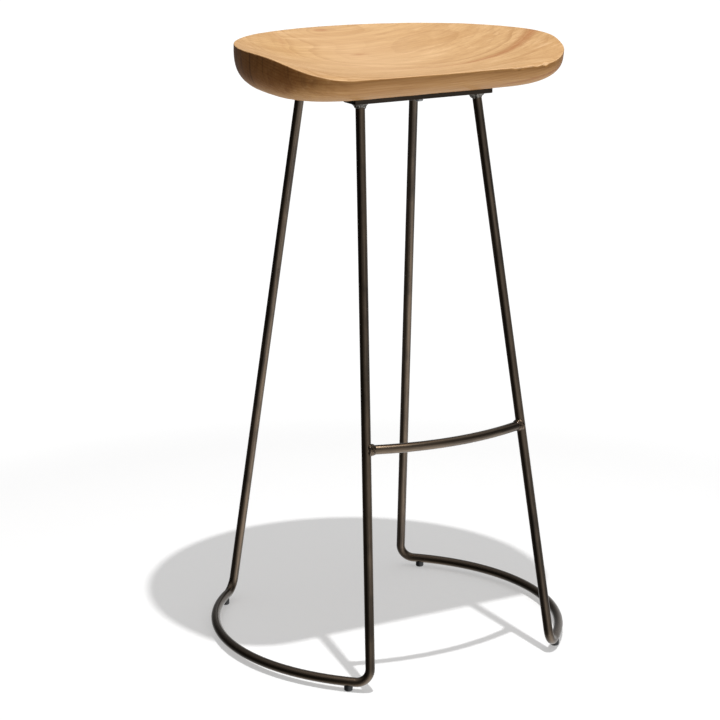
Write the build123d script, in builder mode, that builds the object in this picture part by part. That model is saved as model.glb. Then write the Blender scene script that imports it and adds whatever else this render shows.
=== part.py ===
"""Bar stool: a dished wooden seat on a welded frame of bent steel rod, with a bowed footrest.

Millimetres. +X is the sitter's left-to-right as seen from the front, the front faces -Y, +Z is up.
The origin is on the floor under the middle of the frame.
"""

import os
from math import cos, hypot, radians, sin, sqrt

from build123d import *

os.makedirs("parts", exist_ok=True)

# ---------------------------------------------------------------- driving dimensions

# Seat: a disc whose front is cut straight, dished on top and rounded underneath
seat_front_height = 764.0  # floor to the straight front edge
seat_front_thickness = 33.5  # front edge down to the flat underside
seat_rim_rise = 25.5  # rim at the sides above the front edge
seat_rear_drop = 4.5  # rim at the rear below the rim at the sides
seat_dish_depth = 12.0  # lowest point of the dish below the front edge
seat_radius = 209.0
seat_front_reach = 116.0  # centre of the disc forward to the straight front edge
seat_centre_y = -31.0  # the disc sits forward of the frame's middle
seat_corner_radius = 71.0
seat_rim_round = 1.5  # eased edge all round the top
seat_corner_shrink = 0.27  # corner radius lost for each unit that the underside reaches in
seat_side_undercut = 69.0  # how far the rounded underside reaches in from the side
seat_side_undercut_height = 52.0
seat_side_exponent = 2.8  # roundness of the underside's section at the sides and back
seat_front_undercut = 62.0  # over the whole front thickness
seat_front_exponent = 1.84
seat_section_count = 12  # levels that the rounded underside is lofted through
dish_exponent = 2.2  # 2 is an even bowl, more is a flatter middle
front_dip_exponent = 2.2  # more keeps the rim high for longer on its way to the front edge
dish_point_spacing = 14.0  # of the points that the dish is drawn through
dish_margin = 12.0  # how far the dish is drawn past the outline
dish_tolerance = 0.05
stock_allowance = 4.0  # wood above the rim before the dish is carved

# Frame: solid round rod
rod_diameter = 12.0
bend_radius = 18.0  # on the rod's centre line
leg_top_half_width = 84.0  # leg centres under the seat bars
leg_top_half_depth = 76.5
foot_half_width = 135.0  # where the leg and runner centre lines meet
foot_half_depth = 193.0
runner_splay = 43.0  # degrees, from straight sideways to the way a runner leaves its leg
runner_lead = 20.0  # straight length of runner before its long bow

# Footrest
footrest_height = 302.0
footrest_bow = 21.5

# Seat bars: flat bar across each pair of leg tops
bar_width = 30.0
bar_thickness = 6.0
bar_overhang = 10.0  # past the outside of the leg
bar_corner_radius = 3.0
bar_edge_round = 0.8

# Welds
weld_leg = 4.5
weld_length = 7.0
footrest_weld_leg = 3.0
footrest_weld_length = 6.0

# Floor glides: a plastic cap with a stem that is pushed into a hole in the runner
glide_height = 6.0
glide_radius = 5.5
glide_saddle = 2.0  # how far the cap rises around the rod
glide_edge_round = 2.0
glide_stem_radius = 2.0
glide_stem_length = 7.0
glide_inset = 19.5  # from the leg corner, measured front to back

# Seat screws and washers
screw_radius = 2.4
screw_bite = 14.0  # length held in the wood
screw_tip = 4.0
screw_head_radius = 5.2
screw_head_height = 3.4
screw_head_round = 1.5
recess_length = 5.2
recess_width = 1.1
recess_depth = 1.6
washer_radius = 6.2
washer_thickness = 1.0

# Clearances
cope_clearance = 0.05  # footrest's coped end to its leg, on the radius; the weld bridges it
stem_clearance = 0.05  # glide stem in its hole, on the radius
stem_end_gap = 0.5  # glide stem to the bottom of its hole
bar_hole_clearance = 0.4  # screw in the bar's and washer's hole, on the radius
pilot_clearance = 0.05  # screw in the seat's pilot hole, on the radius
pilot_end_gap = 1.0

# ---------------------------------------------------------------- derived places

rod_radius = rod_diameter / 2
runner_height = glide_height + rod_radius
seat_underside = seat_front_height - seat_front_thickness
seat_rim_height = seat_front_height + seat_rim_rise
seat_front_y = seat_centre_y - seat_front_reach
bar_underside = seat_underside - bar_thickness
bar_half_length = leg_top_half_width + rod_radius + bar_overhang
washer_underside = bar_underside - washer_thickness

leg_top = Vector(leg_top_half_width, -leg_top_half_depth, bar_underside)
leg_corner = Vector(foot_half_width, -foot_half_depth, runner_height)
leg_direction = (leg_corner - leg_top).normalized()
lead_direction = Vector(cos(radians(runner_splay)), sin(radians(runner_splay)), 0)
lead_end = leg_corner + lead_direction * runner_lead
bow_radius = -lead_end.Y / cos(radians(runner_splay))
bow_centre_x = lead_end.X - bow_radius * sin(radians(runner_splay))


def on_leg(height):
    """The point of the front right leg's centre line at a height."""
    return leg_top + leg_direction * ((height - leg_top.Z) / leg_direction.Z)


def on_bow(y):
    """The point of the right runner's bow at a front-to-back place."""
    return Vector(bow_centre_x + sqrt(bow_radius**2 - y**2), y, runner_height)


def turned(point, side, end):
    """A front right point moved to another quarter: side -1 is left, end -1 is rear."""
    return Vector(point.X * side, point.Y * end, point.Z)


footrest_end = on_leg(footrest_height)
footrest_middle = Vector(0, footrest_end.Y - footrest_bow, footrest_height)
glide_place = on_bow(-(foot_half_depth - glide_inset))
on_end = (Align.CENTER, Align.CENTER, Align.MIN)
sides = {"left": -1, "right": 1}
ends = {"front": 1, "rear": -1}


def save(builder, name):
    """Label a finished piece and write it."""
    builder.part.label = name
    export_step(builder.part, f"parts/{name}.step")


# ---------------------------------------------------------------- side frames


def leg_rod(side, end, extra=0.0, clearance=0.0):
    """One leg's straight rod as a loose solid, for coping what meets it."""
    top = turned(leg_top - leg_direction * extra, side, end)
    foot = turned(leg_corner, side, end)
    axis = Plane(origin=top, z_dir=foot - top)
    radius = rod_radius + clearance
    return axis * Cylinder(radius, (foot - top).length, align=on_end, mode=Mode.PRIVATE)


def side_frame(side):
    """Front leg, bowed runner and rear leg, bent from one rod, with a hole above each glide."""
    above = leg_top - leg_direction * rod_diameter  # the rod runs on and is sawn off level
    with BuildPart() as frame:
        with BuildLine() as centre_line:
            front_bend = [turned(point, side, 1) for point in (above, leg_corner, lead_end)]
            rear_bend = [turned(point, side, -1) for point in (lead_end, leg_corner, above)]
            FilletPolyline(*front_bend, radius=bend_radius)
            ThreePointArc(front_bend[-1], turned(on_bow(0), side, 1), rear_bend[0])
            FilletPolyline(*rear_bend, radius=bend_radius)
        rod_axis = turned(leg_direction, side, 1)
        sawn_end = Plane(origin=front_bend[0], x_dir=(side, 0, 0), z_dir=rod_axis)
        with BuildSketch(sawn_end):
            Circle(rod_radius)
        sweep(path=centre_line.line)
        split(bisect_by=Plane.XY.offset(bar_underside), keep=Keep.BOTTOM)
        for end in ends.values():
            place = turned(glide_place, side, end)
            with BuildSketch(Plane(origin=(place.X, place.Y, 0))):
                Circle(glide_stem_radius + stem_clearance)
            extrude(amount=glide_height + glide_stem_length + stem_end_gap, mode=Mode.SUBTRACT)
    return frame


frames = {name: side_frame(side) for name, side in sides.items()}
for name, frame in frames.items():
    save(frame, f"{name}_side_frame")

# ---------------------------------------------------------------- footrest

with BuildPart() as footrest:
    with BuildLine() as footrest_line:
        ThreePointArc(turned(footrest_end, -1, 1), footrest_middle, footrest_end)
    footrest_start = Plane(
        origin=footrest_line.line @ 0, x_dir=(0, 0, -1), z_dir=footrest_line.line % 0
    )
    with BuildSketch(footrest_start):
        Circle(rod_radius)
    sweep(path=footrest_line.line)
    for side in sides.values():
        add(leg_rod(side, 1, clearance=cope_clearance), mode=Mode.SUBTRACT)
save(footrest, "footrest")

# ---------------------------------------------------------------- seat bars


def seat_bar(end):
    """A flat bar over two leg tops, with one screw hole in the middle."""
    with BuildPart() as bar:
        with BuildSketch(Plane.XY.offset(bar_underside)) as plan:
            with Locations((0, -leg_top_half_depth * end)):
                RectangleRounded(2 * bar_half_length, bar_width, bar_corner_radius)
                Circle(screw_radius + bar_hole_clearance, mode=Mode.SUBTRACT)
        extrude(amount=bar_thickness)
        rims = bar.faces().filter_by(Axis.Z).edges().filter_by(GeomType.CIRCLE, reverse=True)
        long_edges = rims.filter_by(Axis.X)
        fillet(long_edges, bar_edge_round)
    return bar


for name, end in ends.items():
    save(seat_bar(end), f"{name}_seat_bar")

# ---------------------------------------------------------------- welds


def leg_weld(side, end):
    """A tapered bead round a leg, under its seat bar."""
    start = turned(leg_top - leg_direction * weld_leg, side, end)
    axis = Plane(origin=start, z_dir=turned(leg_direction, side, end))
    with BuildPart() as bead:
        with Locations(axis):
            Cone(
                rod_radius + weld_leg + weld_leg * weld_leg / weld_length,
                rod_radius,
                weld_leg + weld_length,
                align=on_end,
            )
        split(bisect_by=Plane.XY.offset(bar_underside), keep=Keep.BOTTOM)
        add(leg_rod(side, end, extra=rod_diameter), mode=Mode.SUBTRACT)
    return bead


for end_name, end in ends.items():
    for side_name, side in sides.items():
        save(leg_weld(side, end), f"{end_name}_{side_name}_leg_weld")


def footrest_weld(side):
    """A bead where the footrest's coped end meets the front leg."""
    start, inward = (0, 1) if side < 0 else (1, -1)
    origin = footrest_line.line @ start
    axis = Plane(origin=origin, z_dir=(footrest_line.line % start) * inward)
    with BuildPart() as bead:
        with Locations(axis.offset(rod_radius / 2)):
            Cone(
                rod_radius + footrest_weld_leg,
                rod_radius,
                rod_radius / 2 + footrest_weld_length,
                align=on_end,
            )
        add(leg_rod(side, 1), mode=Mode.SUBTRACT)
        add(footrest.part, mode=Mode.SUBTRACT)
    return bead


for name, side in sides.items():
    save(footrest_weld(side), f"footrest_{name}_weld")

# ---------------------------------------------------------------- floor glides


def glide(side_name, end):
    """A round cap that cradles the runner, with its stem up in the rod."""
    place = turned(glide_place, sides[side_name], end)
    foot = Plane(origin=(place.X, place.Y, 0))
    with BuildPart() as cap:
        with BuildSketch(foot):
            Circle(glide_radius)
        extrude(amount=glide_height + glide_saddle)
        fillet(cap.edges().group_by(Axis.Z)[0], glide_edge_round)
        add(frames[side_name].part, mode=Mode.SUBTRACT)
        with BuildSketch(foot.offset(glide_height - glide_saddle)):
            Circle(glide_stem_radius)
        extrude(amount=glide_saddle + glide_stem_length)
    return cap


for end_name, end in ends.items():
    for side_name in sides:
        save(glide(side_name, end), f"{end_name}_{side_name}_glide")

# ---------------------------------------------------------------- seat screws and washers


def washer(end):
    """A plain washer between a screw head and its bar."""
    with BuildPart() as ring:
        with BuildSketch(Plane(origin=(0, -leg_top_half_depth * end, washer_underside))):
            Circle(washer_radius)
            Circle(screw_radius + bar_hole_clearance, mode=Mode.SUBTRACT)
        extrude(amount=washer_thickness)
    return ring


def seat_screw(end):
    """A pan-head wood screw, up through washer and bar into the seat."""
    under_head = Plane(origin=(0, -leg_top_half_depth * end, washer_underside))
    shank = seat_underside + screw_bite - screw_tip - washer_underside
    with BuildPart() as screw:
        with BuildSketch(under_head.offset(-screw_head_height)):
            Circle(screw_head_radius)
        extrude(amount=screw_head_height)
        fillet(screw.edges().group_by(Axis.Z)[0], screw_head_round)
        with BuildSketch(under_head):
            Circle(screw_radius)
        extrude(amount=shank)
        with Locations(under_head.offset(shank)):
            Cone(screw_radius, 0, screw_tip, align=on_end)
        with BuildSketch(under_head.offset(-screw_head_height)):
            Rectangle(recess_length, recess_width)
            Rectangle(recess_width, recess_length)
        extrude(amount=recess_depth, mode=Mode.SUBTRACT)
    return screw


for name, end in ends.items():
    save(washer(end), f"{name}_seat_washer")
    save(seat_screw(end), f"{name}_seat_screw")

# ---------------------------------------------------------------- seat


def undercut(share, exponent):
    """Inset of a rounded edge as a share of its reach, at a share of its height."""
    return 1 - (1 - (1 - share) ** exponent) ** (1 / exponent)


def seat_outline(level):
    """The seat's plan at a level, as a sketch."""
    rise = level - seat_underside
    side_share = min(rise / seat_side_undercut_height, 1)
    front_share = min(rise / seat_front_thickness, 1)
    side_inset = seat_side_undercut * undercut(side_share, seat_side_exponent)
    front_inset = seat_front_undercut * undercut(front_share, seat_front_exponent)
    radius = seat_radius - side_inset
    corner = seat_corner_radius - seat_corner_shrink * side_inset
    front = -seat_front_reach + front_inset  # from the disc's centre
    across = sqrt((radius - corner) ** 2 - (front + corner) ** 2)
    touch = Vector(across, front + corner).normalized() * radius
    with BuildSketch(Plane(origin=(0, seat_centre_y, level))) as plan:
        with BuildLine():
            Line((-across, front), (across, front))
            TangentArc((across, front), (touch.X, touch.Y), tangent=(1, 0))
            ThreePointArc((touch.X, touch.Y), (0, radius), (-touch.X, touch.Y))
            TangentArc((-across, front), (-touch.X, touch.Y), tangent=(-1, 0))
        make_face()
    return plan.sketch


def seat_half_width(forward):
    """Half the seat's width, at a distance forward of the disc's centre."""
    arc_radius = seat_radius - seat_corner_radius  # disc's centre to a corner's centre
    corner_forward = seat_front_reach - seat_corner_radius
    if forward < corner_forward * seat_radius / arc_radius:
        return sqrt(seat_radius**2 - forward**2)
    past = min(abs(forward - corner_forward), seat_corner_radius)
    return sqrt(arc_radius**2 - corner_forward**2) + sqrt(seat_corner_radius**2 - past**2)


def dish_height(x, y):
    """Height of the seat's top at a place."""
    lowest = seat_front_height - seat_dish_depth
    forward = seat_centre_y - y
    if forward <= 0:
        rim = seat_rim_height - seat_rear_drop * (forward / seat_radius) ** 2
        return lowest + (rim - lowest) * (hypot(x, forward) / seat_radius) ** dish_exponent
    share = forward / seat_front_reach
    middle = lowest + seat_dish_depth * share**2
    rim = seat_rim_height - seat_rim_rise * share**front_dip_exponent
    return middle + (rim - middle) * (abs(x) / seat_half_width(forward)) ** dish_exponent


def spread(low, high):
    """Evenly spaced places from low to high, about one point spacing apart."""
    count = max(round((high - low) / dish_point_spacing), 2)
    return [low + (high - low) * number / count for number in range(count + 1)]


reach = seat_radius + dish_margin
dish_rows = spread(seat_front_y - dish_margin, seat_centre_y + reach)
dish = Face.make_surface_from_array_of_points(
    [[(x, y, dish_height(x, y)) for y in dish_rows] for x in spread(-reach, reach)],
    tol=dish_tolerance,
)

with BuildPart() as seat:
    for number in range(seat_section_count + 1):
        rise = (number / seat_section_count) ** 2 * seat_side_undercut_height  # closer low down
        add(seat_outline(seat_underside + rise))
    loft()
    add(seat_outline(seat_underside + seat_side_undercut_height))
    extrude(amount=seat_rim_height + stock_allowance - seat_underside - seat_side_undercut_height)
    split(bisect_by=dish, keep=Keep.BOTTOM)
    top = seat.faces().sort_by(SortBy.AREA)[-1]
    fillet(top.edges(), seat_rim_round)
    for end in ends.values():
        with BuildSketch(Plane(origin=(0, -leg_top_half_depth * end, seat_underside))):
            Circle(screw_radius + pilot_clearance)
        extrude(amount=screw_bite + pilot_end_gap, mode=Mode.SUBTRACT)
save(seat, "seat")
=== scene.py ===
# %% [markdown]
# # A bar stool with a carved wooden seat
#
# The stool is a dished seat of pale wood on two side frames bent from round steel rod. Each side
# frame is one rod: front leg, bowed runner on the floor, rear leg. A bowed footrest joins the
# front legs, and two flat bars carry the seat. This lesson takes the engineering model as it is,
# remakes the seat and the weld beads, which a hand has touched, and gives every surface a finish.

# %% Load the engineering model
from math import cos, radians, sin

import bpy
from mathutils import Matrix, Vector


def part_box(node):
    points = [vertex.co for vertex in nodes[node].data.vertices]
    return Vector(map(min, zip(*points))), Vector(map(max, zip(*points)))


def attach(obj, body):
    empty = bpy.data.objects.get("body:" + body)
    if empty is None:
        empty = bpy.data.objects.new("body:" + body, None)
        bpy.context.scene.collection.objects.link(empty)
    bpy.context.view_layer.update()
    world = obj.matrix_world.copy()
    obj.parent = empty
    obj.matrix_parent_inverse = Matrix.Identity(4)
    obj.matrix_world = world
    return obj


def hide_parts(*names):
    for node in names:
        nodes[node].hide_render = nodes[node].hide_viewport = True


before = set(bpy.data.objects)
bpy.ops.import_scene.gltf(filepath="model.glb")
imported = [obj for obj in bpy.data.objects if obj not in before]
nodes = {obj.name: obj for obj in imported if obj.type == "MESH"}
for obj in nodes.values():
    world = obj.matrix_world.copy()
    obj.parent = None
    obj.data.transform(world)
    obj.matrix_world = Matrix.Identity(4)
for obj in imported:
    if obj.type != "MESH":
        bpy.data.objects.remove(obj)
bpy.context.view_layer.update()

# %% [markdown]
# ## Shader arithmetic
#
# A finish is a small calculation: stretch a noise, bend it, turn it into a colour. Drawn as a
# node graph it soon hides what it does, so these cells wrap a socket in a class that knows plus,
# minus, times and divide. `grain * 0.3 + 0.5` then adds the Math nodes by itself, and
# `1 - grain` works too, because the reflected forms are there. A second class fills a node tree,
# and a third is a material with one Principled shader.
#
# A noise lies mostly between 0.3 and 0.7. So a ramp over it that starts near a half picks out its
# crests, and the higher it starts, the fewer and smaller they are.

# %% A socket that can be calculated with
class Wire:
    """A number, colour or vector that runs along a wire of a node tree."""

    def __init__(self, shading, socket):
        self.shading = shading
        self.socket = socket

    def math(self, operation, *others):
        """This number and others through one Math node."""
        values = dict(enumerate((self, *others)))
        return self.shading.node("ShaderNodeMath", {"operation": operation}, values)

    def __add__(self, other):
        return self.math("ADD", other)

    __radd__ = __add__

    def __mul__(self, other):
        return self.math("MULTIPLY", other)

    __rmul__ = __mul__

    def __sub__(self, other):
        return self.math("SUBTRACT", other)

    def __rsub__(self, other):
        return self * -1 + other

    def __truediv__(self, other):
        return self.math("DIVIDE", other)


print("wires know + - * /")


# %% A node tree and the tools to fill it
class Shading:
    """A node tree, and the tools to fill it."""

    def __init__(self, tree):
        self.tree = tree

    def node(self, kind, settings, values, output=0):
        """Add a node: its settings first, then the values or wires of its sockets."""
        made = self.tree.nodes.new(kind)
        for name, value in settings.items():
            setattr(made, name, value)
        for name, value in values.items():
            self.feed(made.inputs[name], value)
        return Wire(self, made.outputs[output])

    def feed(self, socket, value):
        """Give a socket a wire or a constant, where a colour of three numbers is opaque."""
        if isinstance(value, Wire):
            self.tree.links.new(value.socket, socket)
        elif isinstance(value, tuple) and len(socket.default_value) > len(value):
            socket.default_value = (*value, 1)
        else:
            socket.default_value = value

    def split(self, vector):
        """The x, y and z of a vector, as three wires."""
        parts = self.node("ShaderNodeSeparateXYZ", {}, {"Vector": vector}).socket.node.outputs
        return [Wire(self, part) for part in parts]

    def join(self, x, y, z):
        """Three wires as one vector."""
        return self.node("ShaderNodeCombineXYZ", {}, {"X": x, "Y": y, "Z": z})

    def noise(self, vector, grain, detail=3.0, roughness=0.55, distortion=0.0):
        """A noise from 0 to 1, mostly near a half, with a grain of x, y and z lumps per metre."""
        stretch = {"operation": "MULTIPLY"}
        values = {
            "Vector": self.node("ShaderNodeVectorMath", stretch, {0: vector, 1: grain}),
            "Scale": 1.0,
            "Detail": detail,
            "Roughness": roughness,
            "Distortion": distortion,
        }
        return self.node("ShaderNodeTexNoise", {}, values)

    def ramp(self, number, low, high, start=0.0, end=1.0):
        """A smooth step from start to end, while a number goes from low to high."""
        span = {"From Min": low, "From Max": high, "To Min": start, "To Max": end}
        smooth = {"interpolation_type": "SMOOTHSTEP"}
        return self.node("ShaderNodeMapRange", smooth, {"Value": number, **span})

    def mix(self, share, first, second, blend="MIX"):
        """Two colours mixed by a share."""
        settings = {"data_type": "RGBA", "blend_type": blend}
        return self.node("ShaderNodeMix", settings, {0: share, 6: first, 7: second}, 2)

    def tinted(self, share, colour, tone):
        """A colour, and by a share the same colour seen through a tone."""
        return self.mix(share, colour, self.mix(1.0, colour, tone, "MULTIPLY"))

    def bell(self, number):
        """A bell curve: 1 where the number is 0, and a third where it is 1 or -1."""
        return (number * number * -1).math("EXPONENT")

    def spot(self, x, y, patch):
        """A soft oval spot, 1 in its middle, from a patch of a centre and a reach."""
        centre, reach = patch
        return self.bell((x - centre[0]) / reach[0]) * self.bell((y - centre[1]) / reach[1])


print("shading ready")


# %% A material with one shader
class Finish(Shading):
    """A material whose surface is one Principled shader."""

    def __init__(self, name, constants):
        self.material = bpy.data.materials.new(name)
        self.material.use_nodes = True
        super().__init__(self.material.node_tree)
        self.shader = self.tree.nodes["Principled BSDF"]
        for socket, value in constants.items():
            self.shader.inputs[socket].default_value = value
        self.place = self.node("ShaderNodeTexCoord", {}, {}, "Object")

    def surface(self, socket, value):
        """Wire a varying value into the shader."""
        self.feed(self.shader.inputs[socket], value)

    def bump(self, height, depth, strength=1.0):
        """A relief of a real depth, in metres, on the shader's normal."""
        values = {"Height": height, "Distance": depth, "Strength": strength}
        self.surface("Normal", self.node("ShaderNodeBump", {}, values))


print("finishes can be made")

# %% [markdown]
# ## Wood
#
# The seat is carved from a board whose growth layers lie almost flat. They rise a little to the
# rear, and more and more to the right, so where the dish cuts through them they show as nested
# curves rather than stripes. Stripes painted on the surface would have to be drawn and bent by
# hand to look like that. A solid pattern does it by itself: the shader works out how high a point
# stands among the layers, and the carved surface finds its own figure. A branch once grew near
# the rear rim, and the layers bend round it.

# %% The height of a point among the growth layers
LAYER_RISE_REAR = 0.209
LAYER_RISE_RIGHT = 0.2
LAYER_BEND = 0.05  # metres over which the rise to the right sets in
SLOW_WANDER = 0.022  # metres by which the layers drift up and down
QUICK_WANDER = 0.0026
SLOW_GRAIN = (2.2, 7, 7)
QUICK_GRAIN = (9, 38, 38)
KNOT = ((-0.008, 0.165), (0.062, 0.030))  # its centre and its reach, each as x and y
KNOT_DIP = 0.016  # metres by which the layers dip at the knot


def growth_height(wood, x, y, z):
    """How high a point stands among the layers, in metres, and the knot's closeness."""
    to_right = (x + (x * x + LAYER_BEND**2).math("SQRT")) * 0.5
    knot = wood.spot(x, y, KNOT)
    layers = z - y * LAYER_RISE_REAR - to_right * LAYER_RISE_RIGHT
    layers = layers + wood.noise(wood.place, SLOW_GRAIN, detail=1.5) * SLOW_WANDER
    layers = layers + wood.noise(wood.place, QUICK_GRAIN, detail=2.0) * QUICK_WANDER
    return layers - knot * KNOT_DIP, knot


print("growth layers rise", LAYER_RISE_REAR, "to the rear and", LAYER_RISE_RIGHT, "to the right")

# %% The colours of the wood
PALE = (0.555, 0.350, 0.172)
HONEY = (0.465, 0.272, 0.120)
LATE = (0.345, 0.180, 0.070)  # the darker wood at the end of each growth layer
STREAK = (0.33, 0.135, 0.050)
# painted sheen: the paler tone of the middle of the dish, as if it caught the light
SHEEN_PALE = (0.66, 0.45, 0.27)
# a pale tone: in light grain lines and a flake it is the wood's own, on the rim it is a painted
# highlight
PALE_GRAIN_AND_RIM_HIGHLIGHT = (0.66, 0.44, 0.25)
END_DARK = (0.12, 0.062, 0.030)
OIL_TONE = (1.0, 0.97, 0.80)
# painted shade: the walls are tinted warmer and darker than the top
WALL_SHADE_TONE = (0.97, 0.86, 0.68)
# painted shade: the walls are darker towards the rim
UPPER_WALL_SHADE_TONE = (0.80, 0.74, 0.66)
# partly the darker end grain, partly painted shade on the sides
END_GRAIN_AND_SHADE_TONE = (0.78, 0.67, 0.60)
print("pale wood:", PALE, "late wood:", LATE)

# %% Layers, fibres and bands
RING_WIDTH = 0.0042
FIBRE_GRAIN = (14, 380, 380)
LINE_GRAIN = (6, 170, 170)
BAND_GRAIN = (2.5, 46, 46)
CLOUD_GRAIN = (5, 11, 11)
PORE_GRAIN = (70, 1500, 1500)


def late_wood(wood, layers):
    """Dark late wood at the end of each growth layer, some layers stronger than others."""
    turns = layers / RING_WIDTH
    phase = turns.math("FRACT")
    which = {"W": turns.math("FLOOR")}
    strength = wood.node("ShaderNodeTexWhiteNoise", {"noise_dimensions": "1D"}, which)
    late = wood.ramp(phase, 0.45, 0.95) * wood.ramp(phase, 0.95, 1.0, 1.0, 0.0)
    return late * (strength * 0.8 + 0.2)


def figured(wood, late, fibre):
    """The plain wood: pale and honey bands, late wood, dark fibres and fine light lines."""
    line = wood.noise(wood.place, LINE_GRAIN, detail=3.0, roughness=0.6)
    band = wood.noise(wood.place, BAND_GRAIN, detail=2.5)
    cloud = wood.noise(wood.place, CLOUD_GRAIN, detail=2.0)
    colour = wood.mix(wood.ramp(band + cloud * 0.6, 0.55, 1.05), HONEY, PALE)
    colour = wood.mix(late * 0.6, colour, LATE)
    colour = wood.mix(wood.ramp(fibre, 0.42, 0.66, 0.0, 0.3), colour, LATE)
    colour = wood.mix(wood.ramp(line, 0.54, 0.68, 0.0, 0.4), colour, LATE)
    return wood.mix(wood.ramp(line, 0.44, 0.32, 0.0, 0.4), colour, PALE_GRAIN_AND_RIM_HIGHLIGHT)


print("growth layers are", RING_WIDTH * 1000, "mm thick")

# %% Streak, knot, pores, marks and painted sheen
STREAK_HEIGHT = 0.7616  # of the one reddish layer
STREAK_THIN, STREAK_WIDE = 0.0007, 0.0026  # it widens to the right
# the first patch is painted sheen, a paler middle of the dish where it would catch the light
SHEEN_PATCH = ((0.0, 0.05), (0.10, 0.12))  # each patch is its centre and its reach
OIL_PATCH = ((-0.10, 0.09), (0.05, 0.05))
SMALL_MARK = ((-0.001, 0.073), (0.011, 0.004))
BRIGHT_FLAKE = ((0.178, -0.083), (0.013, 0.003))


def streaked(wood, colour, layers, x, fibre):
    """The reddish layer, weak at the left and strong at the right."""
    width = wood.ramp(x, 0.06, 0.19, STREAK_THIN, STREAK_WIDE)
    streak = wood.bell((layers - STREAK_HEIGHT) / width) * wood.ramp(x, -0.06, 0.02, 0.3, 0.8)
    return wood.mix(streak * wood.ramp(fibre, 0.3, 0.6, 0.6, 1.0), colour, STREAK)


def marks_and_painted_sheen(wood, colour, x, y):
    """A painted sheen in the middle, and what use has left: an oil stain, a small mark, a bright
    flake.
    """
    # painted sheen: the middle of the dish is made paler
    colour = wood.mix(wood.spot(x, y, SHEEN_PATCH) * 0.35, colour, SHEEN_PALE)
    colour = wood.tinted(wood.spot(x, y, OIL_PATCH) * 0.5, colour, OIL_TONE)
    colour = wood.mix(wood.spot(x, y, SMALL_MARK) * 0.55, colour, STREAK)
    return wood.mix(wood.spot(x, y, BRIGHT_FLAKE) * 0.6, colour, PALE_GRAIN_AND_RIM_HIGHLIGHT)


print("streak at", STREAK_HEIGHT, "m among the layers")

# %% End grain, and painted shade and highlight by facing
RAY_GRAIN = (4, 95, 14)
# The walls' painted shade deepens between these heights.
WALL_SHADE_FROM, WALL_SHADE_TO = 0.742, 0.764  # heights over which the walls darken towards the rim


def end_grain_and_painted_light_by_facing(wood, colour, z):
    """End grain at the sides, and painted shade and a painted highlight by the way a face turns.
    """
    facing = wood.node("ShaderNodeTexCoord", {}, {}, "Normal")
    end_on, _, upward = wood.split(facing)
    ray = wood.noise(wood.place, RAY_GRAIN, detail=3.0, distortion=0.4)
    # the end grain's own darker tone, deepened by painted shade
    end_colour = wood.mix(1.0, colour, END_GRAIN_AND_SHADE_TONE, "MULTIPLY")
    end_colour = wood.mix(wood.ramp(ray, 0.5, 0.68, 0.0, 0.55), end_colour, END_DARK)
    colour = wood.mix(wood.ramp(end_on.math("ABSOLUTE"), 0.45, 0.95), colour, end_colour)
    # painted shade: faces that turn away from the top are tinted warmer and darker
    wall = wood.ramp(upward, 0.5, 0.2)
    colour = wood.tinted(wall, colour, WALL_SHADE_TONE)
    # painted shade: the walls darken further towards the rim
    colour = wood.tinted(wall * wood.ramp(z, WALL_SHADE_FROM, WALL_SHADE_TO), colour, UPPER_WALL_SHADE_TONE)
    # painted highlight: the eased rim, which faces up, is made paler as if it caught the light
    rim = wood.ramp(upward, 0.5, 0.7) * wood.ramp(upward, 0.86, 0.94, 1.0, 0.0)
    return wood.mix(rim * 0.5, colour, PALE_GRAIN_AND_RIM_HIGHLIGHT)


print("end grain shows at the sides")


# %% The seat's wood
OILED_SHINE = 0.09  # an oiled surface mirrors little
OILED_ROUGHNESS = 0.36
WOOD_RELIEF = 0.00016  # metres, as for every relief that follows


def seat_wood_finish():
    """Oiled pale hardwood: layers, a reddish streak, fibres, pores, marks of use, painted light
    and shade.
    """
    wood = Finish("seat_wood_oiled", {"Specular IOR Level": OILED_SHINE})
    x, y, z = wood.split(wood.place)
    layers, knot = growth_height(wood, x, y, z)
    late = late_wood(wood, layers)
    fibre = wood.noise(wood.place, FIBRE_GRAIN, detail=4.0, roughness=0.65)
    pore = wood.ramp(wood.noise(wood.place, PORE_GRAIN, detail=1.0), 0.64, 0.74)
    colour = figured(wood, late, fibre)
    colour = streaked(wood, colour, layers, x, fibre)
    colour = wood.mix(wood.ramp(knot, 0.955, 0.998, 0.0, 0.6), colour, STREAK)
    colour = wood.mix(pore * 0.35, colour, STREAK)
    colour = marks_and_painted_sheen(wood, colour, x, y)
    wood.surface("Base Color", end_grain_and_painted_light_by_facing(wood, colour, z))
    wood.surface("Roughness", fibre * 0.16 + late * 0.06 + OILED_ROUGHNESS)
    wood.bump(fibre * 0.6 + late * 0.25 - pore * 0.8, WOOD_RELIEF, 0.8)
    return wood.material


finishes = {"seat_wood": seat_wood_finish()}
print("wood:", len(finishes["seat_wood"].node_tree.nodes), "nodes")

# %% [markdown]
# ## Steel
#
# The rod is bare drawn steel under a thin dark bronze lacquer. The die leaves long marks along
# the rod and the lacquer is brushed the same way, so the streaks have to turn with the rod: down
# the legs, round the bow of the runners, and across the footrest. One noise stretched along a
# straight axis would run across the rod wherever it turns. So the shader works out, from where
# a point is, one number along the rod and two across it, in one way for each kind of stretch.

# %% Where the rod runs
LEG_TOP_X, LEG_TOP_Y = 0.084, 0.0765  # centre of a leg under its seat bar
CORNER_X, CORNER_Y = 0.135, 0.193  # where the centre lines of leg and runner meet
RUNNER_SPLAY = radians(43)  # the way a runner leaves its leg, from straight sideways
RUNNER_LEAD = 0.020  # its straight length before the bow

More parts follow.
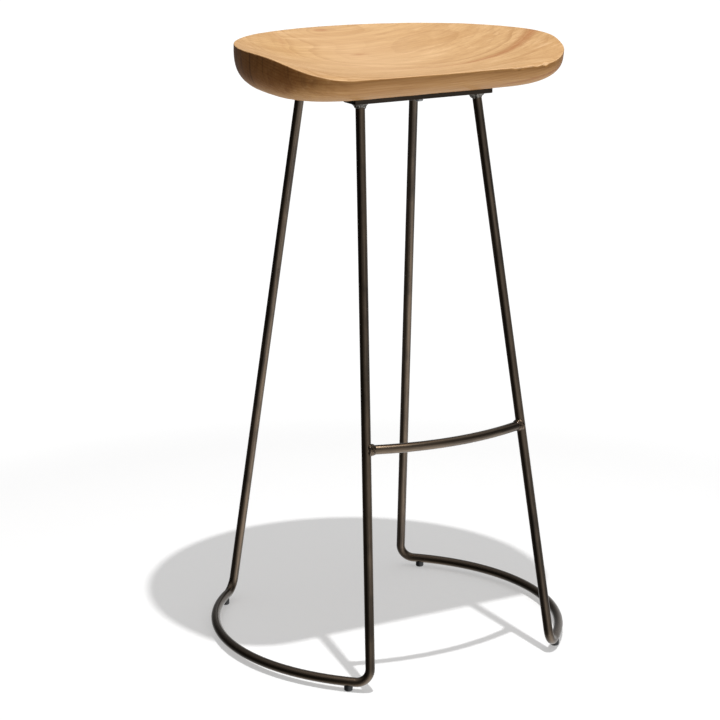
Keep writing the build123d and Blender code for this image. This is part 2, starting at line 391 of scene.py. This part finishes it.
step_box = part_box("footrest")
rod_radius = round((step_box[1].z - step_box[0].z) / 2, 4)
step_half = step_box[1].x
step_bow = step_box[1].y - step_box[0].y - 2 * rod_radius
step_radius = (step_half**2 + step_bow**2) / (2 * step_bow)
step_centre_y = step_box[0].y + rod_radius + step_radius

runner_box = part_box("right_side_frame")
bow_radius = (CORNER_Y - RUNNER_LEAD * sin(RUNNER_SPLAY)) / cos(RUNNER_SPLAY)
bow_centre_x = runner_box[1].x - rod_radius - bow_radius
leg_top = Vector((LEG_TOP_X, LEG_TOP_Y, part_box("front_seat_bar")[0].z))
leg_corner = Vector((CORNER_X, CORNER_Y, runner_box[0].z + rod_radius))
leg_way = (leg_corner - leg_top).normalized()
print("bow radius", round(bow_radius, 4), "footrest radius", round(step_radius, 4))

# %% Streaks that follow the rod
SIDE_SHIFT, END_SHIFT, RUNNER_SHIFT = 3.1, 5.3, 2.7  # so that no two rods show the same streaks
CORNER_BLEND = 0.012  # metres of leg over which its streaks turn into the runner's


def leg_vector(metal, x, y, z):
    """For the four legs: two numbers across the leg, and one down it."""
    far_x, far_y = x.math("ABSOLUTE"), y.math("ABSOLUTE")
    drift = (z - leg_corner.z) / leg_way.z
    across = far_x - drift * leg_way.x + x.math("SIGN") * SIDE_SHIFT
    level = far_y - drift * leg_way.y + y.math("SIGN") * END_SHIFT
    return metal.join(across, level, far_x * leg_way.x + far_y * leg_way.y + z * leg_way.z)


def bow_vector(metal, out, along, z, radius, shift):
    """For a rod that is bowed on the level: out from the bow's centre, height, and round it."""
    outward = (out * out + along * along).math("SQRT") + shift
    return metal.join(outward, z, along.math("ARCTAN2", out) * radius)


def frame_vector(metal):
    """For a side frame: its legs, and near the floor its runner."""
    x, y, z = metal.split(metal.place)
    leg = leg_vector(metal, x, y, z)
    out = x.math("ABSOLUTE") - bow_centre_x
    runner = bow_vector(metal, out, y, z, bow_radius, x.math("SIGN") * RUNNER_SHIFT)
    low = metal.ramp(z, leg_corner.z, leg_corner.z + CORNER_BLEND, 1.0, 0.0)
    return metal.node("ShaderNodeMix", {"data_type": "VECTOR"}, {0: low, 4: leg, 5: runner}, 1)


def step_vector(metal):
    """For the footrest, which is bowed to the front."""
    x, y, z = metal.split(metal.place)
    return bow_vector(metal, step_centre_y - y, x, z, step_radius, 0.0)


def bar_vector(metal):
    """For the seat bars, which were rolled along X."""
    x, y, z = metal.split(metal.place)
    return metal.join(y, z, x)


print("streaks follow the legs, the runners, the footrest and the bars")

# %% The steel's lacquer
DARK_BRONZE = (0.034, 0.024, 0.016)
WORN_BRONZE = (0.145, 0.103, 0.067)
BARE_GREY = (0.23, 0.185, 0.14)
MILL_BLACK = (0.020, 0.015, 0.011)
DRAW_GRAIN = (900, 900, 12)  # two numbers across the rod, and one along it
BRUSH_GRAIN = (260, 260, 5)
BLOTCH_GRAIN = (60, 60, 22)
SPECK_GRAIN = (1400, 1400, 1400)
STEEL_ROUGHNESS = 0.20
STEEL_RELIEF = 0.00006
ROD_COAT, BAR_COAT = 0.5, 0.15  # strength of the clear lacquer
BAR_BLACK = 0.85  # share of mill scale on the bars


def steel_finish(name, vector_along, coat, blackened):
    """Bronze lacquer over drawn steel, with streaks along its length and a share of mill black."""
    constants = {"Metallic": 1.0, "Coat Weight": coat, "Coat Roughness": 0.10}
    metal = Finish(name, constants)
    way = vector_along(metal)
    draw = metal.noise(way, DRAW_GRAIN, detail=3.0, roughness=0.6)
    brushed = metal.noise(way, BRUSH_GRAIN, detail=2.0)
    blotch = metal.noise(way, BLOTCH_GRAIN, detail=3.0, distortion=0.6)
    speck = metal.ramp(metal.noise(metal.place, SPECK_GRAIN, detail=1.0), 0.66, 0.76)
    tone = metal.ramp(brushed * 0.7 + blotch * 0.5, 0.38, 0.82)
    colour = metal.mix(tone, DARK_BRONZE, WORN_BRONZE)
    colour = metal.mix(metal.ramp(draw, 0.5, 0.75, 0.0, 0.5), colour, BARE_GREY)
    colour = metal.mix(speck * 0.5, colour, DARK_BRONZE)
    metal.surface("Base Color", metal.mix(blackened, colour, MILL_BLACK))
    metal.surface("Roughness", brushed * 0.20 + speck * 0.15 + STEEL_ROUGHNESS)
    metal.bump(draw * 0.7 + blotch * 0.6 + speck * 0.4, STEEL_RELIEF, 0.7)
    return metal.material


finishes["frame_steel"] = steel_finish("frame_steel_rod", frame_vector, ROD_COAT, 0.0)
finishes["footrest_steel"] = steel_finish("footrest_steel_rod", step_vector, ROD_COAT, 0.0)
finishes["bar_steel"] = steel_finish("seat_bar_steel", bar_vector, BAR_COAT, BAR_BLACK)
print("steel finishes: 3")

# %% [markdown]
# ## Weld, plastic and zinc
#
# A weld bead is the same steel, melted. At the seat bars the beads are greyer than the rod and
# rough with droplets. At the footrest they were dressed smooth and have the rod's own bronze.
# The floor glides are black moulded plastic, scuffed where they touch the floor. Screws and
# washers are zinc plated, and the plate dries in small crystals, each a slightly different grey,
# which a cell pattern gives and a cloud noise would blur.

# %% Weld beads
LUMP_GRAIN = (420, 420, 420)
GRIT_GRAIN = (1600, 1600, 1600)
WELD_ROUGHNESS = 0.16
RAW_RELIEF, SMOOTH_RELIEF = 0.00022, 0.00006
RAW_DARK = (0.06, 0.052, 0.045)
RAW_LIGHT = (0.20, 0.19, 0.17)


def weld_finish(name, dark, light, relief):
    """Lacquered weld metal, between a dark and a light tone."""
    constants = {"Metallic": 1.0, "Coat Weight": 0.3, "Coat Roughness": 0.15}
    metal = Finish(name, constants)
    lump = metal.noise(metal.place, LUMP_GRAIN, detail=3.0)
    grit = metal.noise(metal.place, GRIT_GRAIN, detail=2.0)
    colour = metal.mix(metal.ramp(lump, 0.38, 0.62), dark, light)
    colour = metal.mix(metal.ramp(grit, 0.6, 0.72, 0.0, 0.6), colour, DARK_BRONZE)
    metal.surface("Base Color", colour)
    metal.surface("Roughness", lump * 0.3 + grit * 0.1 + WELD_ROUGHNESS)
    metal.bump(lump + grit * 0.3, relief)
    return metal.material


raw = ("weld_bead_raw", RAW_DARK, RAW_LIGHT, RAW_RELIEF)
smooth = ("weld_bead_smooth", DARK_BRONZE, WORN_BRONZE, SMOOTH_RELIEF)
finishes["weld_bead"] = weld_finish(*raw)
finishes["smooth_weld"] = weld_finish(*smooth)
print("weld finishes: 2")

# %% Plastic glides
PLASTIC_BLACK = (0.012, 0.012, 0.013)
SCUFFED_BLACK = (0.05, 0.05, 0.048)
MOULD_GRAIN = (2200, 2200, 2200)
SCUFF_GRAIN = (300, 900, 300)
SCUFF_HEIGHT = 0.003
PLASTIC_ROUGHNESS = 0.33
MOULD_RELIEF = 0.00004


def glide_finish():
    """Black moulded plastic, scuffed near the floor."""
    plastic = Finish("glide_black_plastic", {})
    mould = plastic.noise(plastic.place, MOULD_GRAIN, detail=2.0)
    scuff = plastic.noise(plastic.place, SCUFF_GRAIN, detail=4.0)
    height = plastic.split(plastic.place)[2]
    worn = plastic.ramp(height, 0.0, SCUFF_HEIGHT, 1.0, 0.0) * plastic.ramp(scuff, 0.45, 0.7)
    plastic.surface("Base Color", plastic.mix(worn, PLASTIC_BLACK, SCUFFED_BLACK))
    plastic.surface("Roughness", mould * 0.15 + worn * 0.2 + PLASTIC_ROUGHNESS)
    plastic.bump(mould, MOULD_RELIEF)
    return plastic.material


finishes["glide_plastic"] = glide_finish()
print("glides are black plastic")

# %% Zinc plate
ZINC_DARK = (0.16, 0.16, 0.16)
ZINC_LIGHT = (0.34, 0.35, 0.36)
CRYSTALS_PER_METRE = 900.0
STAIN_GRAIN = (260, 260, 260)
ZINC_ROUGHNESS = 0.22
STAIN_RELIEF = 0.00004


def zinc_finish():
    """Zinc plate with small crystals."""
    metal = Finish("zinc_plate", {"Metallic": 1.0})
    cells = {"Vector": metal.place, "Scale": CRYSTALS_PER_METRE}
    grey = metal.split(metal.node("ShaderNodeTexVoronoi", {}, cells, "Color"))[0]
    stain = metal.noise(metal.place, STAIN_GRAIN, detail=3.0)
    colour = metal.mix(grey * 0.5 + stain * 0.5, ZINC_DARK, ZINC_LIGHT)
    metal.surface("Base Color", colour)
    metal.surface("Roughness", grey * 0.14 + stain * 0.12 + ZINC_ROUGHNESS)
    metal.bump(stain, STAIN_RELIEF)
    return metal.material


finishes["zinc_steel"] = zinc_finish()
print("finishes:", sorted(finishes))

# %% [markdown]
# ## Working on one piece at a time
#
# Blender's tools act on whatever is selected, and the model arrives all selected. So each step
# starts with one piece alone. A seat or a bead could be modelled afresh from a primitive, but it
# has to fit its neighbours exactly, so it starts as a copy of the engineering shape. The copy's
# doubled corner points are merged first, so that the tools see one closed skin.

# %% Helpers for modelling
MERGE_DISTANCE = 0.00002


def only(piece):
    """Select one piece alone and make it the active one."""
    bpy.ops.object.select_all(action="DESELECT")
    piece.select_set(True)
    bpy.context.view_layer.objects.active = piece


def skin_of(node, name):
    """A closed copy of an engineering node, with its own mesh."""
    piece = bpy.data.objects.new(name, nodes[node].data.copy())
    bpy.context.scene.collection.objects.link(piece)
    only(piece)
    bpy.ops.object.mode_set(mode="EDIT")
    bpy.ops.mesh.select_all(action="SELECT")
    bpy.ops.mesh.customdata_custom_splitnormals_clear()
    bpy.ops.mesh.remove_doubles(threshold=MERGE_DISTANCE)
    bpy.ops.mesh.normals_make_consistent(inside=False)
    bpy.ops.object.mode_set(mode="OBJECT")
    return piece


def apply_modifier(piece, kind, **settings):
    """Add a modifier, set it and apply it."""
    only(piece)
    modifier = piece.modifiers.new(kind.title(), kind)
    for name, value in settings.items():
        setattr(modifier, name, value)
    bpy.ops.object.modifier_apply(modifier=modifier.name)


def roughen(piece, pattern, height, middle):
    """Push a skin in and out by a pattern, where the pattern's middle value stays put."""
    settings = {"texture": pattern, "texture_coords": "LOCAL", "strength": height}
    apply_modifier(piece, "DISPLACE", mid_level=middle, **settings)


def clouds(name, size, depth):
    """A soft noise for the Displace modifier, the same on every run."""
    pattern = bpy.data.textures.new(name, "CLOUDS")
    pattern.noise_scale = size
    pattern.noise_depth = depth
    return pattern


def complete(piece, slot, finish, *replaced):
    """Give a new piece its finish and its place in the model."""
    only(piece)
    bpy.ops.object.shade_smooth()
    piece.data.materials.clear()
    piece.data.materials.append(finishes[finish])
    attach(piece, "root")
    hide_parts(*replaced)
    print(piece.name, len(piece.data.polygons), "faces")


print("helpers ready")

# %% [markdown]
# ## The carved seat
#
# The engineering seat is exact and cold. A carved one is a touch uneven: the tool rises and
# falls a few tenths of a millimetre. A remesh would give even points to move, but it would also
# round the crisp eased rim, so the skin's own faces are cut finer instead, and then pushed in and
# out by a soft noise. Near the front right corner the rim is slightly chewed: a few rim points
# are pressed in, each one dragging its neighbours along.

# %% Carve the seat
CARVING_SIZE = 0.045  # about the distance from one rise to the next, in metres
CARVING_HEIGHT = 0.0009
CARVING_MIDDLE = 0.5

seat = skin_of("seat", "carved_seat")
bpy.ops.object.mode_set(mode="EDIT")
bpy.ops.mesh.select_all(action="SELECT")
bpy.ops.mesh.subdivide(number_cuts=1)
bpy.ops.object.mode_set(mode="OBJECT")
roughen(seat, clouds("carving", CARVING_SIZE, 2), CARVING_HEIGHT, CARVING_MIDDLE)
print("seat carved:", len(seat.data.polygons), "faces")

# %% Chew the rim
RIM_HEIGHT = 0.7650  # just over the front edge, so that the nearest point is on the rim
RIM_INSET = 0.001
BITES = ((0.098, 0.0009), (0.112, 0.0016), (0.129, 0.0012), (0.143, 0.0018))  # place and depth
BITE_REACH = 0.0065
BITE_SLANT = 0.6  # how far a bite goes to the rear for its depth


def press(piece, place, push, reach):
    """Move the skin's nearest point to a place, with its neighbours within reach."""
    only(piece)
    bpy.ops.object.mode_set(mode="EDIT")
    bpy.ops.mesh.select_all(action="DESELECT")
    bpy.ops.object.mode_set(mode="OBJECT")
    nearest = min(piece.data.vertices, key=lambda point: (point.co - place).length)
    nearest.select = True
    bpy.ops.object.mode_set(mode="EDIT")
    bpy.ops.transform.translate(
        value=push,
        use_proportional_edit=True,
        proportional_edit_falloff="SMOOTH",
        proportional_size=reach,
    )
    bpy.ops.object.mode_set(mode="OBJECT")


rim_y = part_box("seat")[0].y + RIM_INSET
for x, depth in BITES:
    press(seat, Vector((x, rim_y, RIM_HEIGHT)), (0, depth * BITE_SLANT, -depth), BITE_REACH)
complete(seat, "seat_wood", "seat_wood", "seat")

# %% [markdown]
# ## Weld beads
#
# Each leg is welded to its seat bar all round, and the footrest to the front legs. A bead could
# be sculpted droplet by droplet, but a noise as coarse as a droplet does it evenly. A fine remesh
# gives it points to move, and a last smoothing lets the metal flow. The beads at the seat bars
# are lumpy, and those at the footrest are low and smoothed for longer.

# %% Melt the beads
BEAD_VOXEL = 0.00045
DROPLET_SIZE = 0.0032
BEAD_MIDDLE = 0.45
FIRST_SMOOTHING = 4  # rounds
LEG_LUMPS, LEG_SMOOTHING = 0.0035, 3  # height of the droplets, and rounds of smoothing after
STEP_LUMPS, STEP_SMOOTHING = 0.0010, 12
droplets = clouds("droplets", DROPLET_SIZE, 1)


def melted_bead(node, lumps, smoothing, finish):
    """A remade weld bead: a fine skin, droplets of a given height, then smoothing."""
    bead = skin_of(node, f"{node}_bead")
    apply_modifier(bead, "REMESH", mode="VOXEL", voxel_size=BEAD_VOXEL, adaptivity=0.0)
    apply_modifier(bead, "SMOOTH", factor=0.5, iterations=FIRST_SMOOTHING)
    roughen(bead, droplets, lumps, BEAD_MIDDLE)
    apply_modifier(bead, "SMOOTH", factor=0.5, iterations=smoothing)
    complete(bead, "weld_bead", finish, node)


for end in ("front", "rear"):
    for side in ("left", "right"):
        melted_bead(f"{end}_{side}_leg_weld", LEG_LUMPS, LEG_SMOOTHING, "weld_bead")
for side in ("left", "right"):
    melted_bead(f"footrest_{side}_weld", STEP_LUMPS, STEP_SMOOTHING, "smooth_weld")

# %% [markdown]
# ## Finishes for the pieces that stay
#
# Rods, bars, glides and screws come out of a machine, so their engineering shape is right as it
# is. They only change their finish. Each could be given one by its full name, but its kind is
# already in its name, and a short list of kinds does for all of them.

# %% Hand out the finishes
FINISH_OF_KIND = {
    "side_frame": "frame_steel",
    "footrest": "footrest_steel",
    "seat_bar": "bar_steel",
    "glide": "glide_plastic",
    "screw": "zinc_steel",
    "washer": "zinc_steel",
    "weld": "weld_bead",
    "seat": "seat_wood",
}


def finish_of(name):
    """The finish for an engineering node: that of the first kind that its name holds."""
    kind = next(kind for kind in FINISH_OF_KIND if kind in name)
    return finishes[FINISH_OF_KIND[kind]]


for name, node in nodes.items():
    node.data.materials.clear()
    node.data.materials.append(finish_of(name))
print("finished nodes:", len(nodes))

# %% [markdown]
# ## The studio
#
# The stool stands on a pale table that is lit from below as well, in a white room. One small
# lamp, high over the front, throws a single shadow. Strip lights would also draw the long light
# edges on the rods, but each would add a shadow of its own. Here the room itself is the light: a
# few soft lobes of brightness, each round one direction. The table is hidden from all light that
# bounces, so lobes from below stand in for what it throws on the stool. Away from the stool the
# table turns into even white, so it has no horizon.

# %% The floor
FLOOR_HALF = 15.0
GLOW_SHARE = 0.35  # part of the table's white that comes from below, near the stool
GLOW_STRENGTH = 1.08
WHITE_FROM, WHITE_TO = 0.8, 1.2  # metres from the middle over which the table turns all white
PAPER_DARK = (0.97, 0.97, 0.97)
PAPER_LIGHT = (0.99, 0.99, 0.99)
PAPER_GRAIN = (30, 30, 30)


def paper_finish():
    """White paper that glows, and far from the stool does nothing else."""
    paper = Finish("studio_paper", {"Specular IOR Level": 0.0, "Roughness": 0.9})
    x, y, _ = paper.split(paper.place)
    out = (x * x + y * y).math("SQRT")
    weave = paper.noise(paper.place, PAPER_GRAIN)
    paper.surface("Base Color", paper.mix(weave, PAPER_DARK, PAPER_LIGHT))
    light = {"Color": (1, 1, 1), "Strength": GLOW_STRENGTH}
    glow = paper.node("ShaderNodeEmission", {}, light)
    share = paper.ramp(out, WHITE_FROM, WHITE_TO, GLOW_SHARE, 1.0)
    shaders = {0: share, 1: Wire(paper, paper.shader.outputs[0]), 2: glow}
    both = paper.node("ShaderNodeMixShader", {}, shaders)
    paper.feed(paper.tree.nodes["Material Output"].inputs["Surface"], both)
    return paper.material


bpy.ops.object.select_all(action="DESELECT")
bpy.ops.mesh.primitive_grid_add(
    x_subdivisions=4, y_subdivisions=4, size=2 * FLOOR_HALF, location=(0, 0, 0)
)
floor = bpy.context.active_object
floor.name = "studio_floor"
floor.visible_diffuse = False
floor.visible_shadow = False
floor.visible_glossy = False
floor.data.materials.append(paper_finish())
print("floor", 2 * FLOOR_HALF, "m wide")

# %% The room's light
LOBES = (  # direction, tightness and strength of each
    ((0, 0, 1), 3.0, 0.76),  # ceiling
    ((-0.05, -0.97, -0.22), 4.0, 0.66),  # front wall
    ((0.35, -0.40, -0.85), 3.0, 1.75),  # table, to the front
    ((0.85, 0.5, 0.1), 7.0, 0.68),  # window, rear right
    ((0.40, 0.70, -0.60), 6.0, 0.75),  # table, to the rear right
    ((-0.45, 0.35, -0.82), 8.0, 0.35),  # table, to the rear left
)
DIMMEST = 0.02


class Room(Shading):
    """The room's walls, as a world shader that the same arithmetic can feed."""

    def __init__(self, tree):
        super().__init__(tree)
        self.way = self.node("ShaderNodeTexCoord", {}, {}, "Generated")

    def lobe(self, direction, tightness):
        """Brightness that falls off round a direction."""
        values = {0: self.way, 1: tuple(Vector(direction).normalized())}
        facing = self.node("ShaderNodeVectorMath", {"operation": "DOT_PRODUCT"}, values, 1)
        return facing.math("MAXIMUM", 0.0).math("POWER", tightness)


world = bpy.data.worlds.new("studio_walls")
bpy.context.scene.world = world
world.use_nodes = True
room = Room(world.node_tree)
glow = DIMMEST
for direction, tightness, strength in LOBES:
    glow = room.lobe(direction, tightness) * strength + glow
background = room.tree.nodes["Background"]
room.feed(background.inputs["Color"], (1, 1, 1))
room.feed(background.inputs["Strength"], glow)
seen = room.node("ShaderNodeLightPath", {}, {}, "Is Camera Ray")
white = room.node("ShaderNodeBackground", {}, {"Color": (1, 1, 1), "Strength": 1.0})
sky = {0: seen, 1: Wire(room, background.outputs[0]), 2: white}
sky = room.node("ShaderNodeMixShader", {}, sky)
room.feed(room.tree.nodes["World Output"].inputs["Surface"], sky)
print("lobes of light:", len(LOBES))

# %% The lamp
LAMP_PLACE = (-0.099, -0.590, 3.019)
LAMP_AIM = Vector((0, 0, 0.4))
LAMP_WIDTH = 0.05
LAMP_POWER = 68

lamp_data = bpy.data.lights.new("overhead_softbox", "AREA")
lamp_data.shape = "DISK"
lamp_data.size = LAMP_WIDTH
lamp_data.energy = LAMP_POWER
lamp = bpy.data.objects.new("overhead_softbox", lamp_data)
lamp.location = LAMP_PLACE
lamp.rotation_euler = (LAMP_AIM - lamp.location).to_track_quat("-Z", "Y").to_euler()
bpy.context.scene.collection.objects.link(lamp)
print("lamp at", LAMP_PLACE)

# %% The camera
CAMERA_PLACE = (-1.5318, -2.6373, 1.1953)
CAMERA_DOWN = 15.17  # degrees below level
CAMERA_RIGHT = 29.48  # degrees to the right of straight back
LENS = 120.84
SENSOR_WIDTH = 36

camera_data = bpy.data.cameras.new("product_camera")
camera_data.lens = LENS
camera_data.sensor_width = SENSOR_WIDTH
camera = bpy.data.objects.new("product_camera", camera_data)
camera.location = CAMERA_PLACE
camera.rotation_euler = (radians(90 - CAMERA_DOWN), 0, radians(-CAMERA_RIGHT))
bpy.context.scene.collection.objects.link(camera)
bpy.context.scene.camera = camera
bpy.context.scene.view_settings.view_transform = "Standard"
print("camera ready")
